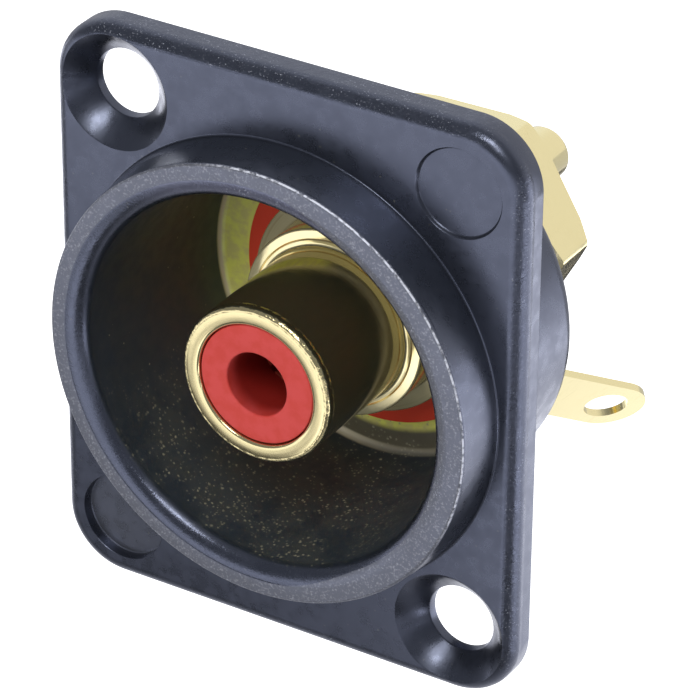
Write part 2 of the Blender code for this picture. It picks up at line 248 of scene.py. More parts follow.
# A step between two values of a socket
def ramp(tree, value, low, high, first=0.0, last=1.0, kind="SMOOTHSTEP"):
    return addNode(tree, "ShaderNodeMapRange", {
        "Value": value, "From Min": low, "From Max": high, "To Min": first, "To Max": last},
        interpolation_type=kind).outputs["Result"]


# A helper that ramps a measure over a named place, from where an effect starts to where it is full
def placing(tree, places):
    def within(measure, name, *levels):
        return ramp(tree, measure, *places[name], *levels)
    return within


# Mix two colours by a mask
def blend(tree, factor, first, second):
    node = addNode(tree, "ShaderNodeMix", {"Factor": factor}, data_type="RGBA")
    colors = [socket for socket in node.inputs if socket.type == "RGBA"]
    for socket, value in zip(colors, (first, second)):
        if isinstance(value, bpy.types.NodeSocket):
            tree.links.new(value, socket)
        else:
            socket.default_value = value
    return [socket for socket in node.outputs if socket.type == "RGBA"][0]


# Noise in the object's own space, or along another vector
def noise(tree, inputs, vector=None):
    if vector is None:
        vector = addNode(tree, "ShaderNodeTexCoord").outputs["Object"]
    return addNode(tree, "ShaderNodeTexNoise", {"Vector": vector, **inputs})


# Relief as a bump on a shader
def addBump(tree, shader, height, strength, distance):
    bump = addNode(tree, "ShaderNodeBump", {"Height": height, "Strength": strength, "Distance": distance})
    tree.links.new(bump.outputs["Normal"], shader.inputs["Normal"])


# Distance from the jack's axis
def axisRadius(group, parts):
    flat = addNode(group, "ShaderNodeCombineXYZ", {"X": parts.outputs["X"], "Z": parts.outputs["Z"]})
    return addNode(group, "ShaderNodeVectorMath", {0: flat.outputs[0]}, operation="LENGTH").outputs["Value"]


# Where a point lies, in millimetres: distance from the axis, depth along it, and place across it
def makePlaceGroup():
    group = newGroup("turnedPlace", {}, ["Radius", "Depth", "Side", "Height"])
    place = addNode(group, "ShaderNodeTexCoord").outputs["Object"]
    large = addNode(group, "ShaderNodeVectorMath", {0: place, "Scale": 1 / mm}, operation="SCALE")
    parts = addNode(group, "ShaderNodeSeparateXYZ", {0: large.outputs[0]})
    addNode(group, "NodeGroupOutput", {
        "Radius": axisRadius(group, parts), "Depth": parts.outputs["Y"],
        "Side": parts.outputs["X"], "Height": parts.outputs["Z"]})
    return group


# Fine orange-peel height and a slower mottle
def makeGrainGroup():
    group = newGroup("fineGrain", {"Scale": 8000.0, "Mottle Scale": 1300.0}, ["Height", "Mottle"])
    start = addNode(group, "NodeGroupInput")
    grain = noise(group, {"Scale": start.outputs["Scale"], "Detail": 3.0, "Roughness": 0.6})
    mottle = noise(group, {"Scale": start.outputs["Mottle Scale"], "Detail": 3.0, "Roughness": 0.55})
    addNode(group, "NodeGroupOutput", {"Height": grain.outputs["Fac"], "Mottle": mottle.outputs["Fac"]})
    return group


# Scattered small bright specks of uneven size; Amount is the share of cells that carry one
def makeSpeckGroup():
    group = newGroup("brightSpecks", {"Scale": 7000.0, "Amount": 0.1, "Size": 0.3}, ["Mask"])
    start = addNode(group, "NodeGroupInput")
    place = addNode(group, "ShaderNodeTexCoord").outputs["Object"]
    warp = noise(group, {"Scale": 16000.0, "Detail": 1.0}, place)
    shift = addNode(group, "ShaderNodeVectorMath", {0: warp.outputs["Color"], "Scale": 0.00011}, operation="SCALE")
    moved = addNode(group, "ShaderNodeVectorMath", {0: place, 1: shift.outputs[0]})
    cells = addNode(group, "ShaderNodeTexVoronoi", {
        "Vector": moved.outputs[0], "Scale": start.outputs["Scale"]})
    pick = addNode(group, "ShaderNodeSeparateColor", {"Color": cells.outputs["Color"]})
    chosen = addNode(group, "ShaderNodeMath", {
        0: pick.outputs["Red"], 1: start.outputs["Amount"]}, operation="LESS_THAN").outputs[0]
    reach = times(group, pick.outputs["Green"], start.outputs["Size"])
    core = ramp(group, cells.outputs["Distance"], reach, times(group, reach, 0.5), kind="LINEAR")
    addNode(group, "NodeGroupOutput", {"Mask": times(group, chosen, core)})
    return group


# Concentric lathe marks round the Y axis, as a height and as a mask of the deeper lines
def makeTurningGroup():
    group = newGroup("latheMarks", {"Pitch": 6500.0, "Waver": 0.25}, ["Height", "Lines"])
    start = addNode(group, "NodeGroupInput")
    place = addNode(group, "ShaderNodeTexCoord").outputs["Object"]
    parts = addNode(group, "ShaderNodeSeparateXYZ", {0: place})
    lathe = addNode(group, "ShaderNodeCombineXYZ", {"X": axisRadius(group, parts), "Y": parts.outputs["Y"]})
    marks = noise(group, {"Scale": start.outputs["Pitch"], "Detail": 2.0, "Roughness": 0.7},
                  lathe.outputs[0]).outputs["Fac"]
    cloud = noise(group, {"Scale": 700.0, "Detail": 1.0}, place).outputs["Fac"]
    lines = ramp(group, marks, 0.42, 0.3, kind="LINEAR")
    broken = ramp(group, cloud, 0.35, 0.6, 0.3, 1.0, kind="LINEAR")
    addNode(group, "NodeGroupOutput", {
        "Height": plus(group, marks, times(group, cloud, start.outputs["Waver"])),
        "Lines": times(group, lines, broken)})
    return group


placeGroup = makePlaceGroup()
grainGroup = makeGrainGroup()
speckGroup = makeSpeckGroup()
turningGroup = makeTurningGroup()


blackFinish = {
    "color": (0.009, 0.010, 0.012, 1),
    "collarColor": (0.020, 0.023, 0.030, 1),
    "bowlColor": (0.008, 0.017, 0.025, 1),
    # painted highlight on the round corner between the bowl's floor and wall
    "cornerHighlightColor": (0.62, 0.56, 0.38, 1),
    "ringColor": (0.072, 0.074, 0.080, 1),
    # painted sheen on the upper right of the blend into the bowl
    "blendSheenColor": (0.060, 0.061, 0.086, 1),
    "ringFleck": (0.21, 0.21, 0.22, 1),
    "recessColor": (0.035, 0.037, 0.042, 1),
    # painted reflection: the bowl's floor tinted olive as if it reflected the gold jack
    "floorColor": (0.09, 0.078, 0.038, 1),
    # painted light: a bright olive patch where light falls on the bowl's floor, brightest next to the red washer
    "litPatchColor": (0.78, 0.80, 0.13, 1),
    "litPatchDeep": (0.66, 0.63, 0.17, 1),
    # sparse specks, and painted glints on the lower wall of the bowl
    "speckAndGlintColor": (0.33, 0.31, 0.21, 1),
    # light dashes on the edges, partly wear and partly painted highlight
    "wearAndHighlightColor": (0.42, 0.44, 0.50, 1),
    # painted highlight line along the collar's rim, on its upper right
    "rimHighlightColor": (0.66, 0.68, 0.75, 1),
    "ior": 2.05,
    "tint": (0.67, 0.74, 1.0, 1),
    "roughness": 0.30,
    "roughnessSpread": 0.05,
    "ringRoughness": 0.40,
    "bowlRoughness": 0.54,
    "mouthRoughness": 0.25,
    "grainDepth": 0.0000035,
    "ringGrain": 3.5,
    "edgeGrain": 6.5,
    "edgeDents": 9.0,
    "fineGrain": {"Scale": 11000.0, "Mottle Scale": 3600.0},
    "clouds": {"Scale": 420.0, "Detail": 4.0, "Roughness": 0.6},
    "fewSpecks": {"Scale": 5200.0, "Amount": 0.03, "Size": 0.35},
    # painted glints thick on the lower wall of the bowl, where the light falls, and a faint painted light over them
    "wallGlints": {"Scale": 6000.0, "Amount": 0.50, "Size": 0.62},
    "wallPatchLight": 0.06,
    "recessCentre": (-9.5, -12.0, 0.0),
    "places": {  # in millimetres
        "faceEnd": (11.3, 11.45), "faceEndDepth": (-3.42, -3.47),
        "faceDepth": (-3.75, -4.1), "faceRadius": (10.0, 10.25),
        "ringWider": (1.0, 6.0), "ring": (10.76, 10.84), "blend": (-1.0, 4.0),
        "inside": (10.3, 9.9), "beforeRear": (7.7, 7.5), "bowlDepth": (-4.2, -3.6),
        "floorDepth": (6.95, 7.05), "floorRadius": (9.3, 9.1),
        "cornerHighlightDepth": (6.7, 6.9), "cornerRadius": (8.9, 9.05), "cornerHighlightSide": (2.0, -4.0),
        "litPatchLeft": (0.0, -4.0), "litPatchUpper": (-4.5, -3.0), "litPatchEdge": (7.8, 7.4),
        "litPatchLower": (-6.6, -5.6), "litPatchLowerRadius": (8.2, 7.8),
        "collarDepth": (-1.9, -2.1), "collarRadius": (11.4, 11.5),
        "recessDepth": (-1.6, -1.3), "recessRadius": (2.35, 2.25),
        "rimDepth": (-4.25, -4.38), "rimRadius": (11.38, 11.5),
        "mouthDepth": (-3.8, -4.0), "mouthInner": (9.9, 10.05), "mouthOuter": (10.8, 10.72), "mouthLit": (2.0, 9.0),
        "outlineSide": (12.2, 12.6), "outlineHeight": (14.7, 15.1),
        "roundDepth": (-0.8, -1.05), "topFace": (15.1, 15.3),
        "rimHighlightDepth": (-4.43, -4.46), "rimHighlightRadius": (11.535, 11.56), "rimHighlightLit": (5.5, 9.0),
        "glintsBelow": (-2.5, -7.0), "glintsLeft": (6.0, 2.0),
    },
}


def makeBlackMaterial(settings):
    material, tree, shader = nodeTree("blackFinish")
    place = useGroup(tree, placeGroup)
    radius, depth = place.outputs["Radius"], place.outputs["Depth"]
    side, height = place.outputs["Side"], place.outputs["Height"]
    grain = useGroup(tree, grainGroup)
    fine = useGroup(tree, grainGroup, settings["fineGrain"])
    cloud = noise(tree, settings["clouds"]).outputs["Fac"]
    within = placing(tree, settings["places"])
    shader.inputs["IOR"].default_value = settings["ior"]
    shader.inputs["Specular Tint"].default_value = settings["tint"]

    # The turned ring on the collar's face, and the bowl behind it
    inFront = within(plus(tree, depth, within(radius, "faceEnd")), "faceEndDepth")
    face = times(tree, within(depth, "faceDepth"), within(radius, "faceRadius"), inFront)
    towards = plus(tree, side, times(tree, height, 0.8))
    ring = times(tree, face, within(plus(tree, radius, times(tree, within(side, "ringWider"), 0.6)), "ring"))
    inside = times(tree, within(radius, "inside"), within(depth, "beforeRear"))
    bowl = times(tree, within(depth, "bowlDepth"), inside)

    # The bowl's floor, tinted as a painted reflection of the gold, a painted patch of light on it, and a painted
    # highlight on the round corner between floor and wall
    # The bowl's floor is tinted olive, a painted reflection of the gold jack
    floor = times(tree, inside, within(radius, "floorRadius"), within(depth, "floorDepth"))
    edge = plus(tree, height, times(tree, cloud, 5.0))
    above = times(tree, within(side, "litPatchLeft"), within(edge, "litPatchUpper"))
    below = times(tree, within(edge, "litPatchLower"), within(radius, "litPatchLowerRadius"))
    # Painted light on the floor: lit on the left and upper part and at the bottom near the washer, with a ragged
    # shadow edge
    litFloorPatch = times(tree, floor, larger(tree, above, below))
    shade = ramp(tree, plus(tree, grain.outputs["Mottle"], times(tree, within(radius, "litPatchEdge"), -0.3)), 0.36, 0.62)
    # A painted highlight along the round corner of the bowl's floor, stronger on the left
    corner = times(tree, times(tree, within(radius, "cornerRadius"), within(depth, "cornerHighlightDepth")),
                   times(tree, inside, within(side, "cornerHighlightSide", 0.2, 1.0)))

    # The collar's outer side, the recess, and light dashes on the edges, partly wear and partly painted highlight:
    # the rim, the mouth on its lit side and the flange's outline
    collar = times(tree, within(depth, "collarDepth"), within(radius, "collarRadius"))
    across = addNode(tree, "ShaderNodeCombineXYZ", {"X": side, "Y": height}).outputs[0]
    offCentre = addNode(tree, "ShaderNodeVectorMath", {
        0: across, 1: settings["recessCentre"]}, operation="DISTANCE").outputs["Value"]
    recess = times(tree, within(offCentre, "recessRadius"), within(depth, "recessDepth"))
    rim = times(tree, within(radius, "rimRadius"), within(depth, "rimDepth"))
    mouth = times(tree, within(radius, "mouthOuter"), within(radius, "mouthInner"), within(depth, "mouthDepth"))
    reaches = [addNode(tree, "ShaderNodeMath", {0: measure}, operation="ABSOLUTE").outputs[0]
               for measure in (side, height)]
    outline = times(tree, larger(tree, within(reaches[0], "outlineSide"), within(reaches[1], "outlineHeight")),
                    larger(tree, within(depth, "roundDepth"), within(height, "topFace")))
    # On the mouth, only its lit upper right side gets these dashes
    rubbedAndLitEdges = larger(tree, times(tree, rim, 0.9), times(tree, mouth, within(towards, "mouthLit", 0.1, 0.8)),
                    times(tree, outline, 0.8))
    wearAndHighlights = times(tree, rubbedAndLitEdges, ramp(tree, cloud, 0.42, 0.6, 0.25, 1.0),
                 ramp(tree, fine.outputs["Height"], 0.60, 0.70))
    # A painted highlight line along the outer edge of the rim, on its lit upper right side, broken into dashes
    rimHighlightLine = times(tree, times(tree, within(radius, "rimHighlightRadius"), within(depth, "rimHighlightDepth")),
                    times(tree, within(towards, "rimHighlightLit"), ramp(tree, fine.outputs["Mottle"], 0.37, 0.56)))

    # Specks: sparse all over, and painted glints thick in patches on the lower wall of the bowl, with a faint painted
    # light over these patches
    few = useGroup(tree, speckGroup, settings["fewSpecks"]).outputs["Mask"]
    glints = useGroup(tree, speckGroup, settings["wallGlints"]).outputs["Mask"]
    lower = times(tree, within(height, "glintsBelow"), within(side, "glintsLeft", 0.4, 1.0))
    patch = times(tree, lower, ramp(tree, cloud, 0.38, 0.56), bowl)
    specksAndGlints = larger(tree, times(tree, few, plus(tree, times(tree, bowl, 0.6), 0.15)),
                    times(tree, patch, ramp(tree, fine.outputs["Mottle"], 0.3, 0.7, 0.3, 1.0), glints))
    specksAndGlints = plus(tree, specksAndGlints, times(tree, patch, settings["wallPatchLight"]))

    color = settings["color"]
    for mask, name in (
            (bowl, "bowlColor"), (collar, "collarColor"), (recess, "recessColor"), (floor, "floorColor"),
            # a painted sheen on the upper right part of the blend into the bowl
            (times(tree, face, within(towards, "blend")), "blendSheenColor"), (ring, "ringColor"),
            (times(tree, ring, ramp(tree, grain.outputs["Height"], 0.5, 0.72)), "ringFleck"),
            (corner, "cornerHighlightColor")):
        color = blend(tree, mask, color, settings[name])
    color = blend(tree, litFloorPatch, color, blend(tree, shade, settings["litPatchColor"], settings["litPatchDeep"]))
    for mask, name in ((specksAndGlints, "speckAndGlintColor"), (wearAndHighlights, "wearAndHighlightColor"), (rimHighlightLine, "rimHighlightColor")):
        color = blend(tree, mask, color, settings[name])
    tree.links.new(color, shader.inputs["Base Color"])

    rough = ramp(tree, grain.outputs["Mottle"], 0.3, 0.7, settings["roughness"] - settings["roughnessSpread"],
                 settings["roughness"] + settings["roughnessSpread"])
    for mask, name in ((ring, "ringRoughness"), (bowl, "bowlRoughness"), (mouth, "mouthRoughness")):
        rough = plus(tree, rough, times(tree, mask, settings[name] - settings["roughness"]))
    tree.links.new(rough, shader.inputs["Roughness"])

    edges = larger(tree, outline, plus(tree, rim, mouth))
    coarse = plus(tree, times(tree, ring, settings["ringGrain"] - 1), times(tree, edges, settings["edgeGrain"] - 1))
    relief = times(tree, grain.outputs["Height"], plus(tree, coarse, 1.0))
    relief = plus(tree, relief, times(tree, outline, settings["edgeDents"], fine.outputs["Mottle"]))
    addBump(tree, shader, relief, 0.6, settings["grainDepth"])
    return material


goldPlating = {
    "color": (0.94, 0.83, 0.46, 1),
    "lineColor": (0.66, 0.53, 0.18, 1),
    "bandColor": (0.44, 0.25, 0.06, 1),
    # painted shade, tinted red: the contact's sleeve deep in the pin hole
    "boreShadeColor": (0.50, 0.10, 0.06, 1),
    "lipColor": (0.72, 0.62, 0.33, 1),
    "metallic": 0.97,
    "stepMetallic": 0.72,
    "roughness": 0.14,
    "barrelRoughness": 0.08,
    "boreRoughness": 0.6,
    "markDepth": 0.0000012,
    "rearMarks": 0.25,
    "lipDents": 60.0,
    "grain": {"Scale": 5000.0, "Mottle Scale": 900.0},
    "bandPitch": 2700.0,
    "dentScale": 3000.0,
    "places": {  # in millimetres
        "front": (9.0, 8.0), "stepsFrom": (2.66, 2.74), "stepsTo": (6.7, 6.6),
        "bore": (2.5, 2.3), "barrelInner": (4.0, 4.1), "barrelOuter": (4.25, 4.2),
        "lipDepth": (-3.7, -3.95), "lipRadius": (3.85, 4.0),
    },
}


def makeGoldMaterial(settings):
    material, tree, shader = nodeTree("goldPlating")
    marks = useGroup(tree, turningGroup)
    grain = useGroup(tree, grainGroup, settings["grain"])
    place = useGroup(tree, placeGroup)
    radius, depth = place.outputs["Radius"], place.outputs["Depth"]
    within = placing(tree, settings["places"])
    front = within(depth, "front")
    steps = times(tree, within(depth, "stepsFrom"), within(depth, "stepsTo"))
    # Deep in the pin hole, the contact's sleeve is darkened with painted shade
    bore = times(tree, front, within(radius, "bore"))
    barrel = times(tree, within(radius, "barrelInner"), within(radius, "barrelOuter"), front)
    lip = within(depth, "lipDepth")
    metallic = plus(tree, times(tree, steps, settings["stepMetallic"] - settings["metallic"]), settings["metallic"])
    tree.links.new(metallic, shader.inputs["Metallic"])

    lines = times(tree, marks.outputs["Lines"], within(depth, "front", 0.2, 0.12))
    bands = useGroup(tree, turningGroup, {"Pitch": settings["bandPitch"]}).outputs["Lines"]
    color = settings["color"]
    for mask, name in ((lines, "lineColor"), (times(tree, steps, bands), "bandColor"),
                       (bore, "boreShadeColor"), (lip, "lipColor")):
        color = blend(tree, mask, color, settings[name])
    tree.links.new(color, shader.inputs["Base Color"])

    rough = ramp(tree, grain.outputs["Mottle"], 0.3, 0.7, settings["roughness"] - 0.03, settings["roughness"] + 0.05)
    for mask, name in ((barrel, "barrelRoughness"), (bore, "boreRoughness")):
        rough = plus(tree, rough, times(tree, mask, settings[name] - settings["roughness"]))
    tree.links.new(rough, shader.inputs["Roughness"])

    share = plus(tree, times(tree, front, 1 - settings["rearMarks"]), settings["rearMarks"])
    relief = times(tree, marks.outputs["Height"], share)
    dents = useGroup(tree, grainGroup, {"Mottle Scale": settings["dentScale"]}).outputs["Mottle"]
    lipRound = times(tree, lip, within(radius, "lipRadius"))
    relief = plus(tree, relief, times(tree, lipRound, settings["lipDents"], dents))
    addBump(tree, shader, relief, 0.8, settings["markDepth"])
    return material


redPlastic = {
    "color": (0.52, 0.047, 0.036, 1),
    "paleColor": (0.56, 0.062, 0.056, 1),
    "deepColor": (0.66, 0.060, 0.028, 1),
    # painted shade inside the pin hole
    "holeShadeColor": (0.24, 0.014, 0.010, 1),
    "roughness": 0.5,
    "places": {"deep": (5.5, 6.5), "holeDepth": (-4.1, -3.0), "holeRadius": (1.9, 1.7)},  # in millimetres
}
whitePlastic = {"color": (0.78, 0.77, 0.72, 1), "paleColor": (0.83, 0.82, 0.78, 1), "roughness": 0.5}


def makePlasticMaterial(name, settings):
    material, tree, shader = nodeTree(name)
    grain = useGroup(tree, grainGroup, {"Scale": 5000.0, "Mottle Scale": 1500.0})
    color = blend(tree, ramp(tree, grain.outputs["Mottle"], 0.35, 0.65), settings["color"], settings["paleColor"])
    if "places" in settings:
        place = useGroup(tree, placeGroup)
        radius, depth = place.outputs["Radius"], place.outputs["Depth"]
        within = placing(tree, settings["places"])
        color = blend(tree, within(depth, "deep"), color, settings["deepColor"])
        # Painted shade darkens the insert's pin hole towards its depth
        hole = times(tree, within(depth, "holeDepth"), within(radius, "holeRadius"))
        color = blend(tree, hole, color, settings["holeShadeColor"])
    shader.inputs["Specular IOR Level"].default_value = 0.3
    tree.links.new(color, shader.inputs["Base Color"])
    rough = ramp(tree, grain.outputs["Mottle"], 0.3, 0.7, settings["roughness"] - 0.06, settings["roughness"] + 0.06)
    tree.links.new(rough, shader.inputs["Roughness"])
    addBump(tree, shader, grain.outputs["Height"], 0.35, 0.000003)
    return material


blackMaterial = makeBlackMaterial(blackFinish)
goldMaterial = makeGoldMaterial(goldPlating)
redMaterial = makePlasticMaterial("redPlastic", redPlastic)
whiteMaterial = makePlasticMaterial("whitePlastic", whitePlastic)
print("materials made")


housing = {
    "width": 26.0 * mm,
    "height": 31.0 * mm,
    "thickness": 1.8 * mm,
    "cornerRadius": 3.3 * mm,
    "edgeRound": 0.8 * mm,
    "rearEdge": 0.12 * mm,
    "overlap": 1.4 * mm,
    "collarRadius": 11.62 * mm,
    "collarDraft": 0.25 * mm,
    "collarFaceWidth": 0.82 * mm,
    "outerRound": 0.18 * mm,
    "footRound": (0.22 * mm, 0.08 * mm),
    "mouthBlend": (1.0 * mm, 0.8 * mm),
    "bowlDraft": 0.5 * mm,
    "bowlFloor": 7.1 * mm,
    "floorRound": 0.3 * mm,
    "canRadius": 10.65 * mm,
    "canRound": 1.2 * mm,
    "floorHoleRadius": 5.2 * mm,
    "floorHoleEdge": 0.1 * mm,
    "screwHole": (9.5 * mm, 12.0 * mm),
    "screwHoleRadius": 1.78 * mm,
    "countersinkRadius": 3.0 * mm,
    "recess": (2.35 * mm, 0.55 * mm),  # radius and depth
    "blank": (2.3 * mm, 0.18 * mm),
    "seamMerge": 2e-6,
    "steps": 192,
}


# A block with its four upright corners bevelled, then its front edge, and an opening for the bowl
def makeFlangePlate(size):
    plate = addBlock((0, -size["thickness"] / 2, 0), (size["width"], size["thickness"], size["height"]))
    plate.name = "plate"
    bpy.ops.object.transform_apply(location=True, rotation=False, scale=True)
    enterEdit()
    selectEdges(lambda edge: abs((edge.verts[0].co - edge.verts[1].co).y) > 0.5 * size["thickness"])
    bpy.ops.mesh.bevel(offset=size["cornerRadius"], segments=20, profile=0.5, affect="EDGES")
    front = -size["thickness"]
    selectEdges(lambda edge: all(vert.co.y < front + mergeDistance for vert in edge.verts))
    bpy.ops.mesh.bevel(offset=size["edgeRound"], segments=8, profile=0.5, affect="EDGES")
    selectEdges(lambda edge: all(vert.co.y > -mergeDistance for vert in edge.verts)
                and len(edge.link_faces) == 2)
    bpy.ops.mesh.bevel(offset=size["rearEdge"], segments=3, profile=0.5, affect="EDGES")
    leaveEdit()
    middle = size["collarRadius"] - size["overlap"]
    plug = spinProfile("plug", [(0, front - mm), (middle, front - mm), (middle, mm), (0, mm)], 96, closed=False)
    applyBoolean(plate, "DIFFERENCE", plug)
    return plate


# A turned collar, bowl and can, joined to the flange, then drilled and dished
def makeHousing(size):
    face = -size["thickness"]
    mouth = size["collarRadius"] - size["collarFaceWidth"]
    bowl = mouth - size["mouthBlend"][0]
    blendEnd = housingFront + size["mouthBlend"][1]
    foot = size["collarRadius"] + size["collarDraft"]
    floorRadius = bowl - size["bowlDraft"]
    profile = arcPoints((mouth, blendEnd), size["mouthBlend"], 180, 270, 10)
    profile += roundedProfile([
        (mouth, housingFront),
        (mouth + 0.05 * mm, housingFront),
        (size["collarRadius"], housingFront, size["outerRound"]),
        (foot, face - size["footRound"][0], size["footRound"][1]),
        (foot + 0.05 * mm, face - 0.03 * mm, 0.04 * mm),
        (foot + 0.2 * mm, face + 0.03 * mm),
        (foot + 0.2 * mm, face + 0.6 * mm),
        (size["canRadius"], face + 1.2 * mm),
    ], closed=False)
    profile += arcPoints((size["canRadius"] - size["canRound"], housingRear - size["canRound"]),
                         (size["canRound"], size["canRound"]), 0, 90, 10)
    profile += [
        (size["floorHoleRadius"] + size["floorHoleEdge"], housingRear),
        (size["floorHoleRadius"], housingRear - size["floorHoleEdge"]),
        (size["floorHoleRadius"], size["bowlFloor"]),
    ]
    inner = size["floorRound"]
    profile += arcPoints((floorRadius - inner, size["bowlFloor"] - inner), (inner, inner), 90, 0, 5)
    body = spinProfile("housing_shell", profile, size["steps"])
    applyBoolean(body, "UNION", makeFlangePlate(size))

    x, z = size["screwHole"]
    radius, rim = size["screwHoleRadius"], size["countersinkRadius"]
    for side in (-1, 1):
        hole = spinProfile("hole", [
            (0, face - mm),
            (rim + mm + 0.05 * mm, face - mm),
            (rim + 0.05 * mm, face),
            (rim - 0.03 * mm, face + 0.05 * mm),
            (radius + 0.04 * mm, face + rim - radius - 0.04 * mm),
            (radius, face + rim - radius + 0.05 * mm),
            (radius, -0.06 * mm),
            (radius + 0.06 * mm, 0),
            (radius + 0.06 * mm + mm, mm),
            (0, mm),
        ], 64, closed=False, centre=(side * x, -side * z))
        applyBoolean(body, "DIFFERENCE", hole)
    for (radius, depth), sides in ((size["recess"], (-1, -1)), (size["blank"], (1, 1))):
        dish = spinProfile("dish", [
            (0, face - 0.5 * mm),
            (radius + 0.5 * mm, face - 0.5 * mm),
            (radius, face + 0.02 * mm),
            (radius - 0.05 * mm, face + depth - 0.04 * mm),
            (radius - 0.1 * mm, face + depth),
            (0, face + depth),
        ], 64, closed=False, centre=(sides[0] * x, sides[1] * z))
        applyBoolean(body, "DIFFERENCE", dish)
    makeActive(body)
    enterEdit()
    bpy.ops.mesh.select_all(action="SELECT")
    bpy.ops.mesh.remove_doubles(threshold=size["seamMerge"])
    selectEdges(lambda edge: len(edge.link_faces) == 1)
    bpy.ops.mesh.fill_holes(sides=0)
    leaveEdit()
    finishPiece(body, blackMaterial, "housing", angle=28, weighted=True)


makeHousing(housing)


jack = {
    "barrelRadius": 4.15 * mm,
    "boreRadius": 3.2 * mm,
    "boreEnd": 5.2 * mm,
    "lipOuter": 0.35 * mm,
    "lipInner": 0.2 * mm,
    "stepRadius": 5.03 * mm,
    "stepFront": 2.75 * mm,
    "seatRadius": 5.95 * mm,
    "seatFront": 5.1 * mm,
    "seatRear": 6.55 * mm,
    "shankRadius": 4.0 * mm,
    "shankBore": 2.6 * mm,
    "edge": 0.12 * mm,
    "groove": (0.10 * mm, 0.05 * mm),
    "fillet": 0.18 * mm,
    "faceSlope": 0.03 * mm,
    "threadPitch": 0.75 * mm,
    "threadDepth": 0.36 * mm,
    "threadFrom": 10.2 * mm,
    "threadRings": 82,
    "grooveOffset": 0.34 * mm,
    "steps": 160,
}


# A fine turned groove in a face that looks forward
def faceGroove(radius, y, groove):
    width, depth = groove
    return [(radius + width * (step / 4 - 0.5), y + depth * (0.5 - 0.5 * math.cos(math.tau * step / 4)))
            for step in range(5)]


# The turned body, its shank cut to a helical thread
def makeJackBody(size):
    edge = size["edge"]
    corners = [
        (size["barrelRadius"], jackFront, size["lipOuter"]),
        (size["barrelRadius"], size["stepFront"], size["fillet"]),
        *faceGroove(size["barrelRadius"] + size["grooveOffset"], size["stepFront"], size["groove"]),
        (size["stepRadius"], size["stepFront"] + size["faceSlope"], edge),
        (size["stepRadius"], size["seatFront"], 0.5 * size["fillet"]),
        (size["seatRadius"], size["seatFront"] + size["faceSlope"], edge),
        (size["seatRadius"], size["seatRear"], edge),
        (size["shankRadius"], size["seatRear"], 0.05 * mm),
        *[(size["shankRadius"], size["threadFrom"] + size["threadPitch"] * step / 8)
          for step in range(size["threadRings"])],
        (size["shankRadius"], jackRear, 0.3 * mm),
        (size["shankBore"], jackRear, 0.08 * mm),
        (size["shankBore"], size["boreEnd"]),
        (size["boreRadius"], size["boreEnd"]),
        (size["boreRadius"], jackFront, size["lipInner"]),
    ]
    body = spinProfile("jack_turned", roundedProfile(corners), size["steps"])
    makeActive(body)
    enterEdit()
    shape = bmesh.from_edit_mesh(body.data)
    for vert in shape.verts:
        radius = math.hypot(vert.co.x, vert.co.z)
        inThread = size["threadFrom"] < vert.co.y < jackRear - 0.25 * mm
        if inThread and radius > size["shankRadius"] - mergeDistance:
            turn = vert.co.y / size["threadPitch"] - math.atan2(vert.co.z, vert.co.x) / math.tau
            cut = size["threadDepth"] * min(1, max(0, 2.5 * abs(turn % 1 - 0.5) - 0.12))
            vert.co.x *= (radius - cut) / radius
            vert.co.z *= (radius - cut) / radius
    bmesh.update_edit_mesh(body.data)
    leaveEdit()
    finishPiece(body, goldMaterial, "jack_body", angle=35, weighted=True)


makeJackBody(jack)


insert = {
    "radius": 3.15 * mm,
    "pinHoleRadius": 1.67 * mm,
    "pinHoleDepth": 3.3 * mm,
    "pocketRadius": 2.25 * mm,
    "rimRound": 0.1 * mm,
    "holeRound": 0.12 * mm,
}


# A plain turned piece from the corners of its profile
def makeTurned(name, corners, material, node, steps=128):
    finishPiece(spinProfile(name, roundedProfile(corners), steps), material, node, angle=35)


makeTurned("insert_red", [
    (insert["pinHoleRadius"], insertFront, insert["holeRound"]),
    (insert["radius"], insertFront, insert["rimRound"]),
    (insert["radius"], insertRear),
    (insert["pocketRadius"], insertRear),
    (insert["pocketRadius"], insertFront + insert["pinHoleDepth"]),
    (insert["pinHoleRadius"], insertFront + insert["pinHoleDepth"]),
], redMaterial, "front_insulator")

frontWasher = {
    "radius": 7.3 * mm,
    "boreRadius": 4.05 * mm,
    "rimRound": 0.06 * mm,
}
makeTurned("washer_front_red", [
    (frontWasher["boreRadius"], washerFront),
    (frontWasher["radius"], washerFront, frontWasher["rimRound"]),
    (frontWasher["radius"], washerRear, frontWasher["rimRound"]),
    (frontWasher["boreRadius"], washerRear),
], redMaterial, "front_washer")

bushing = {
    "boreRadius": 4.05 * mm,
    "spigotRadius": 5.15 * mm,
    "radius": 6.5 * mm,
    "shoulder": 8.35 * mm,
    "spigotRound": 0.08 * mm,
    "shoulderRound": 0.1 * mm,
    "rimRound": 0.15 * mm,
}
makeTurned("bushing_red", [
    (bushing["boreRadius"], bushingFront),
    (bushing["spigotRadius"], bushingFront, bushing["spigotRound"]),
    (bushing["spigotRadius"], bushing["shoulder"]),
    (bushing["radius"], bushing["shoulder"], bushing["shoulderRound"]),
    (bushing["radius"], bushingRear, bushing["rimRound"]),
    (bushing["boreRadius"], bushingRear),
], redMaterial, "rear_bushing")

bead = {
    "boreRadius": 1.55 * mm,
    "radius": 2.55 * mm,
    "rimRound": 0.08 * mm,
    "boreRound": 0.05 * mm,
}
makeTurned("bead_white", [
    (bead["boreRadius"], beadFront),
    (bead["radius"], beadFront),
    (bead["radius"], beadRear, bead["rimRound"]),
    (bead["boreRadius"], beadRear, bead["boreRound"]),
], whiteMaterial, "rear_insulator", steps=96)


nut = {
    "acrossFlats": 11.9 * mm,
    "turn": math.radians(31.05),
    "boreRadius": 4.05 * mm,
    "collarRadius": 5.75 * mm,
    "collarLength": 2.5 * mm,
    "chamferRadius": 6.3 * mm,
    "chamferAngle": math.radians(30),
    "cornerRound": 0.25 * mm,
}


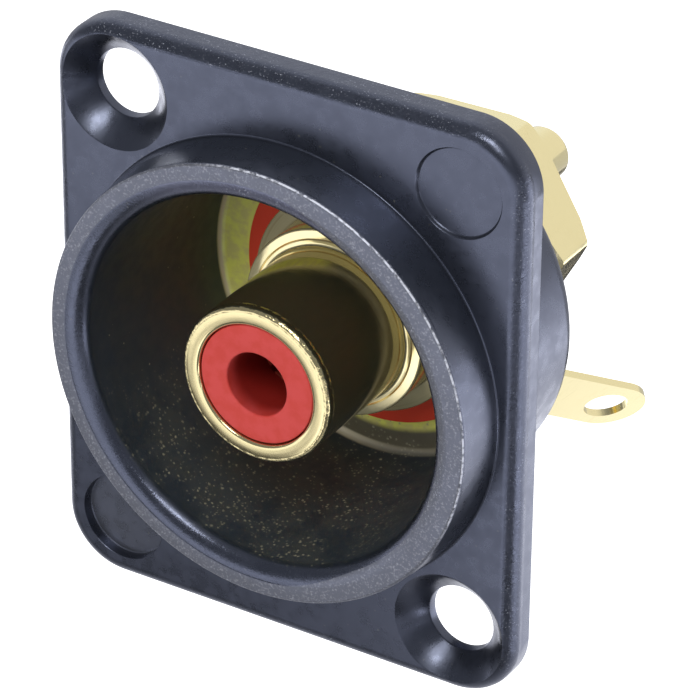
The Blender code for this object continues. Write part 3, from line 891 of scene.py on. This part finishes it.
# A six-sided prism, cut by a turned blank to a round collar and chamfered corners, and bored
def makeNut(size):
    corner = size["acrossFlats"] / 2 / math.cos(math.radians(30))
    deselectAll()
    bpy.ops.mesh.primitive_cylinder_add(vertices=6, radius=corner, depth=nutRear - nutFront,
                                        location=(0, (nutFront + nutRear) / 2, 0),
                                        rotation=(math.radians(90), -size["turn"], 0))
    piece = bpy.context.object
    piece.name = "nut_gold"
    bpy.ops.object.transform_apply(location=True, rotation=True, scale=True)
    enterEdit()
    selectEdges(lambda edge: abs((edge.verts[0].co - edge.verts[1].co).y) > mm)
    bpy.ops.mesh.bevel(offset=size["cornerRound"], segments=4, profile=0.5, affect="EDGES")
    leaveEdit()
    past = corner + 0.5 * mm
    face = size["chamferRadius"]
    drop = (past - face) * math.tan(size["chamferAngle"])
    hexFront = nutFront + size["collarLength"]
    blank = spinProfile("blank", [
        (0, nutFront - 0.2 * mm), (size["collarRadius"] - 0.1 * mm, nutFront - 0.2 * mm),
        (size["collarRadius"] - 0.1 * mm, nutFront), (size["collarRadius"], nutFront + 0.1 * mm),
        (size["collarRadius"], hexFront), (face, hexFront),
        (past, hexFront + drop), (past, nutRear - drop),
        (face - 0.2 * mm / math.tan(size["chamferAngle"]), nutRear + 0.2 * mm), (0, nutRear + 0.2 * mm),
    ], 144, closed=False)
    applyBoolean(piece, "INTERSECT", blank)
    radius = size["boreRadius"]
    bore = spinProfile("bore", [
        (0, nutFront - mm), (radius + 1.3 * mm, nutFront - mm), (radius, nutFront + 0.3 * mm),
        (radius, nutRear - 0.3 * mm), (radius + 1.3 * mm, nutRear + mm), (0, nutRear + mm),
    ], 96, closed=False)
    applyBoolean(piece, "DIFFERENCE", bore)
    finishPiece(piece, goldMaterial, "hex_nut", angle=20, weighted=True)


makeNut(nut)


tag = {
    "thickness": 0.4 * mm,
    "ringRadius": 6.0 * mm,
    "boreRadius": 4.05 * mm,
    "width": 3.78 * mm,
    "direction": math.radians(-43),
    "bendRadius": 0.6 * mm,
    "bendDistance": 8.19 * mm,
    "bendAngle": math.radians(51),
    "tongue": 7.9 * mm,
    "holeRadius": 1.15 * mm,
    "holeDistance": 5.84 * mm,
    "bendSteps": 8,
}


# A ring and a round-ended tongue, joined flat, drilled, then bent in edit mode across the bend
def makeTag(size):
    half = size["width"] / 2
    lead = size["bendRadius"] * math.tan(size["bendAngle"] / 2)
    bendStart = size["bendDistance"] - lead
    length = size["bendRadius"] * size["bendAngle"]
    stretch = 2 * lead - length
    endCentre = size["bendDistance"] + size["tongue"] - half
    low, high = tagFront, tagFront + size["thickness"]
    ring = spinProfile("tag_gold", roundedProfile([
        (size["boreRadius"], low), (size["ringRadius"], low, 0.05 * mm),
        (size["ringRadius"], high, 0.05 * mm), (size["boreRadius"], high)]), 128)
    inner = size["boreRadius"] + 0.6 * mm
    tongue = addBlock(((endCentre + inner) / 2, (low + high) / 2, 0),
                      (endCentre - inner, size["thickness"], size["width"]))
    bpy.ops.object.transform_apply(location=True, rotation=True, scale=True)
    end = spinProfile("tag_end", [(0, low), (half, low), (half, high), (0, high)], 64, closed=False,
                      centre=(endCentre, 0))
    applyBoolean(tongue, "UNION", end)
    applyBoolean(ring, "UNION", tongue)
    hole = spinProfile("tag_hole", [
        (0, low - mm), (size["holeRadius"], low - mm), (size["holeRadius"], high + mm), (0, high + mm)],
        48, closed=False, centre=(size["bendDistance"] + size["holeDistance"] - stretch, 0))
    applyBoolean(ring, "DIFFERENCE", hole)
    makeActive(ring)
    enterEdit()
    for step in range(size["bendSteps"] + 1):
        bpy.ops.mesh.select_all(action="SELECT")
        bpy.ops.mesh.bisect(plane_co=(bendStart + length * step / size["bendSteps"], 0, 0), plane_no=(1, 0, 0))
    shape = bmesh.from_edit_mesh(ring.data)
    for vert in shape.verts:
        past = vert.co.x - bendStart
        if past > 0:
            turn = size["bendAngle"] * min(past / length, 1)
            straight = max(past - length, 0)
            reach = size["bendRadius"] - (vert.co.y - (low + high) / 2)
            vert.co.x = bendStart + reach * math.sin(turn) + straight * math.cos(turn)
            vert.co.y = (low + high) / 2 + size["bendRadius"] - reach * math.cos(turn) + straight * math.sin(turn)
    bmesh.update_edit_mesh(ring.data)
    leaveEdit()
    ring.rotation_euler = (0, -size["direction"], 0)
    finishPiece(ring, goldMaterial, "solder_tag", angle=25, weighted=True)


makeTag(tag)


contact = {
    "sleeveRadius": 2.2 * mm,
    "boreRadius": 1.62 * mm,
    "boreDepth": 8.3 * mm,
    "shoulder": 8.8 * mm,
    "stemRadius": 1.5 * mm,
    "cupRadius": 1.0 * mm,
    "cupDepth": 3.0 * mm,
    "slotWidth": 0.35 * mm,
    "slotLength": 5.5 * mm,
    "scoopLength": 2.2 * mm,
    "scoopOffset": 0.5 * mm,
    "scoopDirection": math.radians(229),
}


# A slotted spring sleeve, and a stem with a bored and scooped solder end
def makeContact(size):
    corners = [
        (0, contactFront + size["boreDepth"]),
        (size["boreRadius"], contactFront + size["boreDepth"]),
        (size["boreRadius"], contactFront, 0.2 * mm),
        (size["sleeveRadius"], contactFront, 0.12 * mm),
        (size["sleeveRadius"], contactFront + size["shoulder"], 0.05 * mm),
        (size["stemRadius"], contactFront + size["shoulder"]),
        (size["stemRadius"], contactRear, 0.3 * mm),
        (size["cupRadius"], contactRear, 0.06 * mm),
        (size["cupRadius"], contactRear - size["cupDepth"]),
        (0, contactRear - size["cupDepth"]),
    ]
    body = spinProfile("contact_gold", roundedProfile(corners, closed=False), 96, closed=False)
    for turn in (45, 135):
        applyBoolean(body, "DIFFERENCE", addBlock(
            (0, contactFront - mm + (size["slotLength"] + mm) / 2, 0),
            (2 * size["sleeveRadius"] + mm, size["slotLength"] + mm, size["slotWidth"]), (0, math.radians(turn), 0)))
    along = contactRear - size["scoopLength"] / 2 + 0.25 * mm
    reach = size["scoopOffset"] + size["stemRadius"]
    applyBoolean(body, "DIFFERENCE", addBlock(
        (reach * math.cos(size["scoopDirection"]), along, reach * math.sin(size["scoopDirection"])),
        (2 * size["stemRadius"], size["scoopLength"] + 0.5 * mm, 3 * size["stemRadius"]),
        (0, -size["scoopDirection"], 0)))
    finishPiece(body, goldMaterial, "centre_contact", angle=35)


makeContact(contact)


view = {
    "azimuth": math.radians(31.189),
    "elevation": math.radians(30.443),
    "roll": math.radians(0.488),
    "distance": 210.308 * mm,
    "target": (3.781 * mm, -1.8 * mm, 1.937 * mm),
    "lens": 228.11,
}


def makeCamera(settings):
    turn, lift, roll = settings["azimuth"], settings["elevation"], settings["roll"]
    back = Vector((math.sin(turn) * math.cos(lift), -math.cos(turn) * math.cos(lift), math.sin(lift)))
    right = Vector((math.cos(turn), math.sin(turn), 0))
    up = back.cross(right)
    side = math.cos(roll) * right + math.sin(roll) * up
    top = math.cos(roll) * up - math.sin(roll) * right
    data = bpy.data.cameras.new("photoCamera")
    data.lens = settings["lens"]
    data.sensor_width = 36
    data.sensor_fit = "HORIZONTAL"
    data.clip_start = 0.01
    data.clip_end = 10
    camera = bpy.data.objects.new("photoCamera", data)
    bpy.context.scene.collection.objects.link(camera)
    facing = Matrix((side, top, back)).transposed().to_4x4()
    camera.matrix_world = Matrix.Translation(Vector(settings["target"]) + settings["distance"] * back) @ facing
    bpy.context.scene.camera = camera


lamps = [
    {"name": "keyAboveCamera", "place": (0.07, -0.217, 0.266), "size": 0.13, "power": 0.45,
     "color": (1.0, 0.99, 0.97), "mirrored": True},
    {"name": "softFront", "place": (-0.06, -0.36, 0.13), "size": 0.20, "power": 0.62,
     "color": (1.0, 0.99, 0.97), "mirrored": False},
]


def makeLamps(rows):
    for row in rows:
        data = bpy.data.lights.new(row["name"], "AREA")
        data.shape = "SQUARE"
        data.size = row["size"]
        data.energy = row["power"]
        data.color = row["color"]
        lamp = bpy.data.objects.new(row["name"], data)
        bpy.context.scene.collection.objects.link(lamp)
        lamp.location = row["place"]
        lamp.visible_glossy = row["mirrored"]
        lamp.rotation_euler = (-Vector(row["place"])).to_track_quat("-Z", "Y").to_euler()


surround = {
    "front": (0.24, 0.25, 0.28, 1),
    "back": (0.84, 0.83, 0.84, 1),
    "backLeft": (0.90, 0.92, 0.98, 1),
    "frontToBack": (-0.25, 0.4),
    "rightToLeft": (0.1, -0.5),
    "floorHeight": -60 * mm,
    "floorColor": (0.8, 0.8, 0.8, 1),
    "floorGlow": (0.97, 0.98, 1.06, 1),
    "floorBands": [  # place along Y, level
        (-0.125, 1.65), (-0.092, 1.60), (-0.078, 0.45), (-0.066, 0.10), (-0.042, 0.10),
        (-0.025, 0.42), (0.015, 1.00), (0.060, 1.95), (0.090, 2.6),
    ],
    "floorWedge": (0.041, 0.047, 0.6),  # how far Y leads X where it starts and is full, level
    "wedgeFrom": (0.100, 0.112),
    "floorPatches": [  # place and reach along X and Y, level
        (-0.059, -0.092, 0.007, 0.009, 0.80),
        (-0.057, -0.115, 0.012, 0.007, 1.15),
        (-0.015, -0.080, 0.021, 0.019, 2.00),
        (0.050, -0.092, 0.034, 0.040, 0.22),
        (0.118, -0.012, 0.032, 0.046, 3.40),
        (0.270, -0.200, 0.170, 0.150, 0.20),
        (0.078, 0.108, 0.020, 0.016, 3.60),
        (0.002, 0.094, 0.042, 0.014, 0.07),
    ],
    "patchEdge": (0.8, 1.2),
}


# A room that is dark in front and pale behind, and white where the camera sees it
def makeWorld(settings):
    world = bpy.data.worlds.new("paleStudio")
    bpy.context.scene.world = world
    world.use_nodes = True
    tree = world.node_tree
    facing = addNode(tree, "ShaderNodeTexCoord").outputs["Generated"]
    parts = addNode(tree, "ShaderNodeSeparateXYZ", {0: facing})
    leftward = ramp(tree, parts.outputs["X"], *settings["rightToLeft"])
    backward = ramp(tree, parts.outputs["Y"], *settings["frontToBack"])
    rear = blend(tree, leftward, settings["back"], settings["backLeft"])
    ground = tree.nodes["Background"]
    tree.links.new(blend(tree, backward, settings["front"], rear), ground.inputs["Color"])
    white = addNode(tree, "ShaderNodeBackground", {"Color": (1, 1, 1, 1), "Strength": 1.0})
    path = addNode(tree, "ShaderNodeLightPath")
    pick = addNode(tree, "ShaderNodeMixShader", {
        0: path.outputs["Is Camera Ray"], 1: ground.outputs[0], 2: white.outputs[0]})
    tree.links.new(pick.outputs[0], tree.nodes["World Output"].inputs["Surface"])


# A pale floor that the camera sees as white, and the part's mirrored surfaces as bands and patches
def makeFloor(settings):
    deselectAll()
    bpy.ops.mesh.primitive_plane_add(size=3, location=(0, 0, settings["floorHeight"]))
    floor = bpy.context.object
    floor.name = "paleFloor"
    material, tree, shader = nodeTree("paleFloor")
    shader.inputs["Base Color"].default_value = settings["floorColor"]
    shader.inputs["Roughness"].default_value = 0.9
    shader.inputs["Specular IOR Level"].default_value = 0.0
    place = addNode(tree, "ShaderNodeTexCoord").outputs["Object"]
    parts = addNode(tree, "ShaderNodeSeparateXYZ", {0: place})
    level = settings["floorBands"][0][1]
    for (near, first), (far, last) in zip(settings["floorBands"], settings["floorBands"][1:]):
        level = plus(tree, level, ramp(tree, parts.outputs["Y"], near, far, 0.0, last - first))
    start, end, wedgeLevel = settings["floorWedge"]
    lead = addNode(tree, "ShaderNodeMath", {
        0: parts.outputs["Y"], 1: parts.outputs["X"]}, operation="SUBTRACT").outputs[0]
    wedge = times(tree, ramp(tree, lead, start, end), ramp(tree, parts.outputs["Y"], *settings["wedgeFrom"]))
    level = plus(tree, level, times(tree, wedge, wedgeLevel - settings["floorBands"][-1][1]))
    inner, outer = settings["patchEdge"]
    for x, y, reachX, reachY, patchLevel in settings["floorPatches"]:
        away = addNode(tree, "ShaderNodeVectorMath", {0: place, 1: (x, y, 0.0)}, operation="SUBTRACT")
        away = addNode(tree, "ShaderNodeVectorMath", {
            0: away.outputs[0], 1: (1 / reachX, 1 / reachY, 0.0)}, operation="MULTIPLY")
        away = addNode(tree, "ShaderNodeVectorMath", {0: away.outputs[0]}, operation="LENGTH").outputs["Value"]
        patch = times(tree, ramp(tree, away, outer, inner), patchLevel)
        level = plus(tree, times(tree, level, ramp(tree, away, inner, outer)), patch)
    path = addNode(tree, "ShaderNodeLightPath")
    mirrored = larger(tree, path.outputs["Is Glossy Ray"], path.outputs["Is Transmission Ray"])
    seen = larger(tree, path.outputs["Is Camera Ray"], times(tree, mirrored, level))
    glow = addNode(tree, "ShaderNodeEmission", {
        "Color": blend(tree, mirrored, (1, 1, 1, 1), settings["floorGlow"]), "Strength": seen})
    body = addNode(tree, "ShaderNodeMixShader", {0: mirrored, 1: shader.outputs[0]})
    both = addNode(tree, "ShaderNodeAddShader", {0: body.outputs[0], 1: glow.outputs[0]})
    tree.links.new(both.outputs[0], tree.nodes["Material Output"].inputs["Surface"])
    floor.data.materials.append(material)


makeCamera(view)
makeLamps(lamps)
makeWorld(surround)
makeFloor(surround)
bpy.context.scene.view_settings.view_transform = "Standard"
print("camera, lamps and floor made")
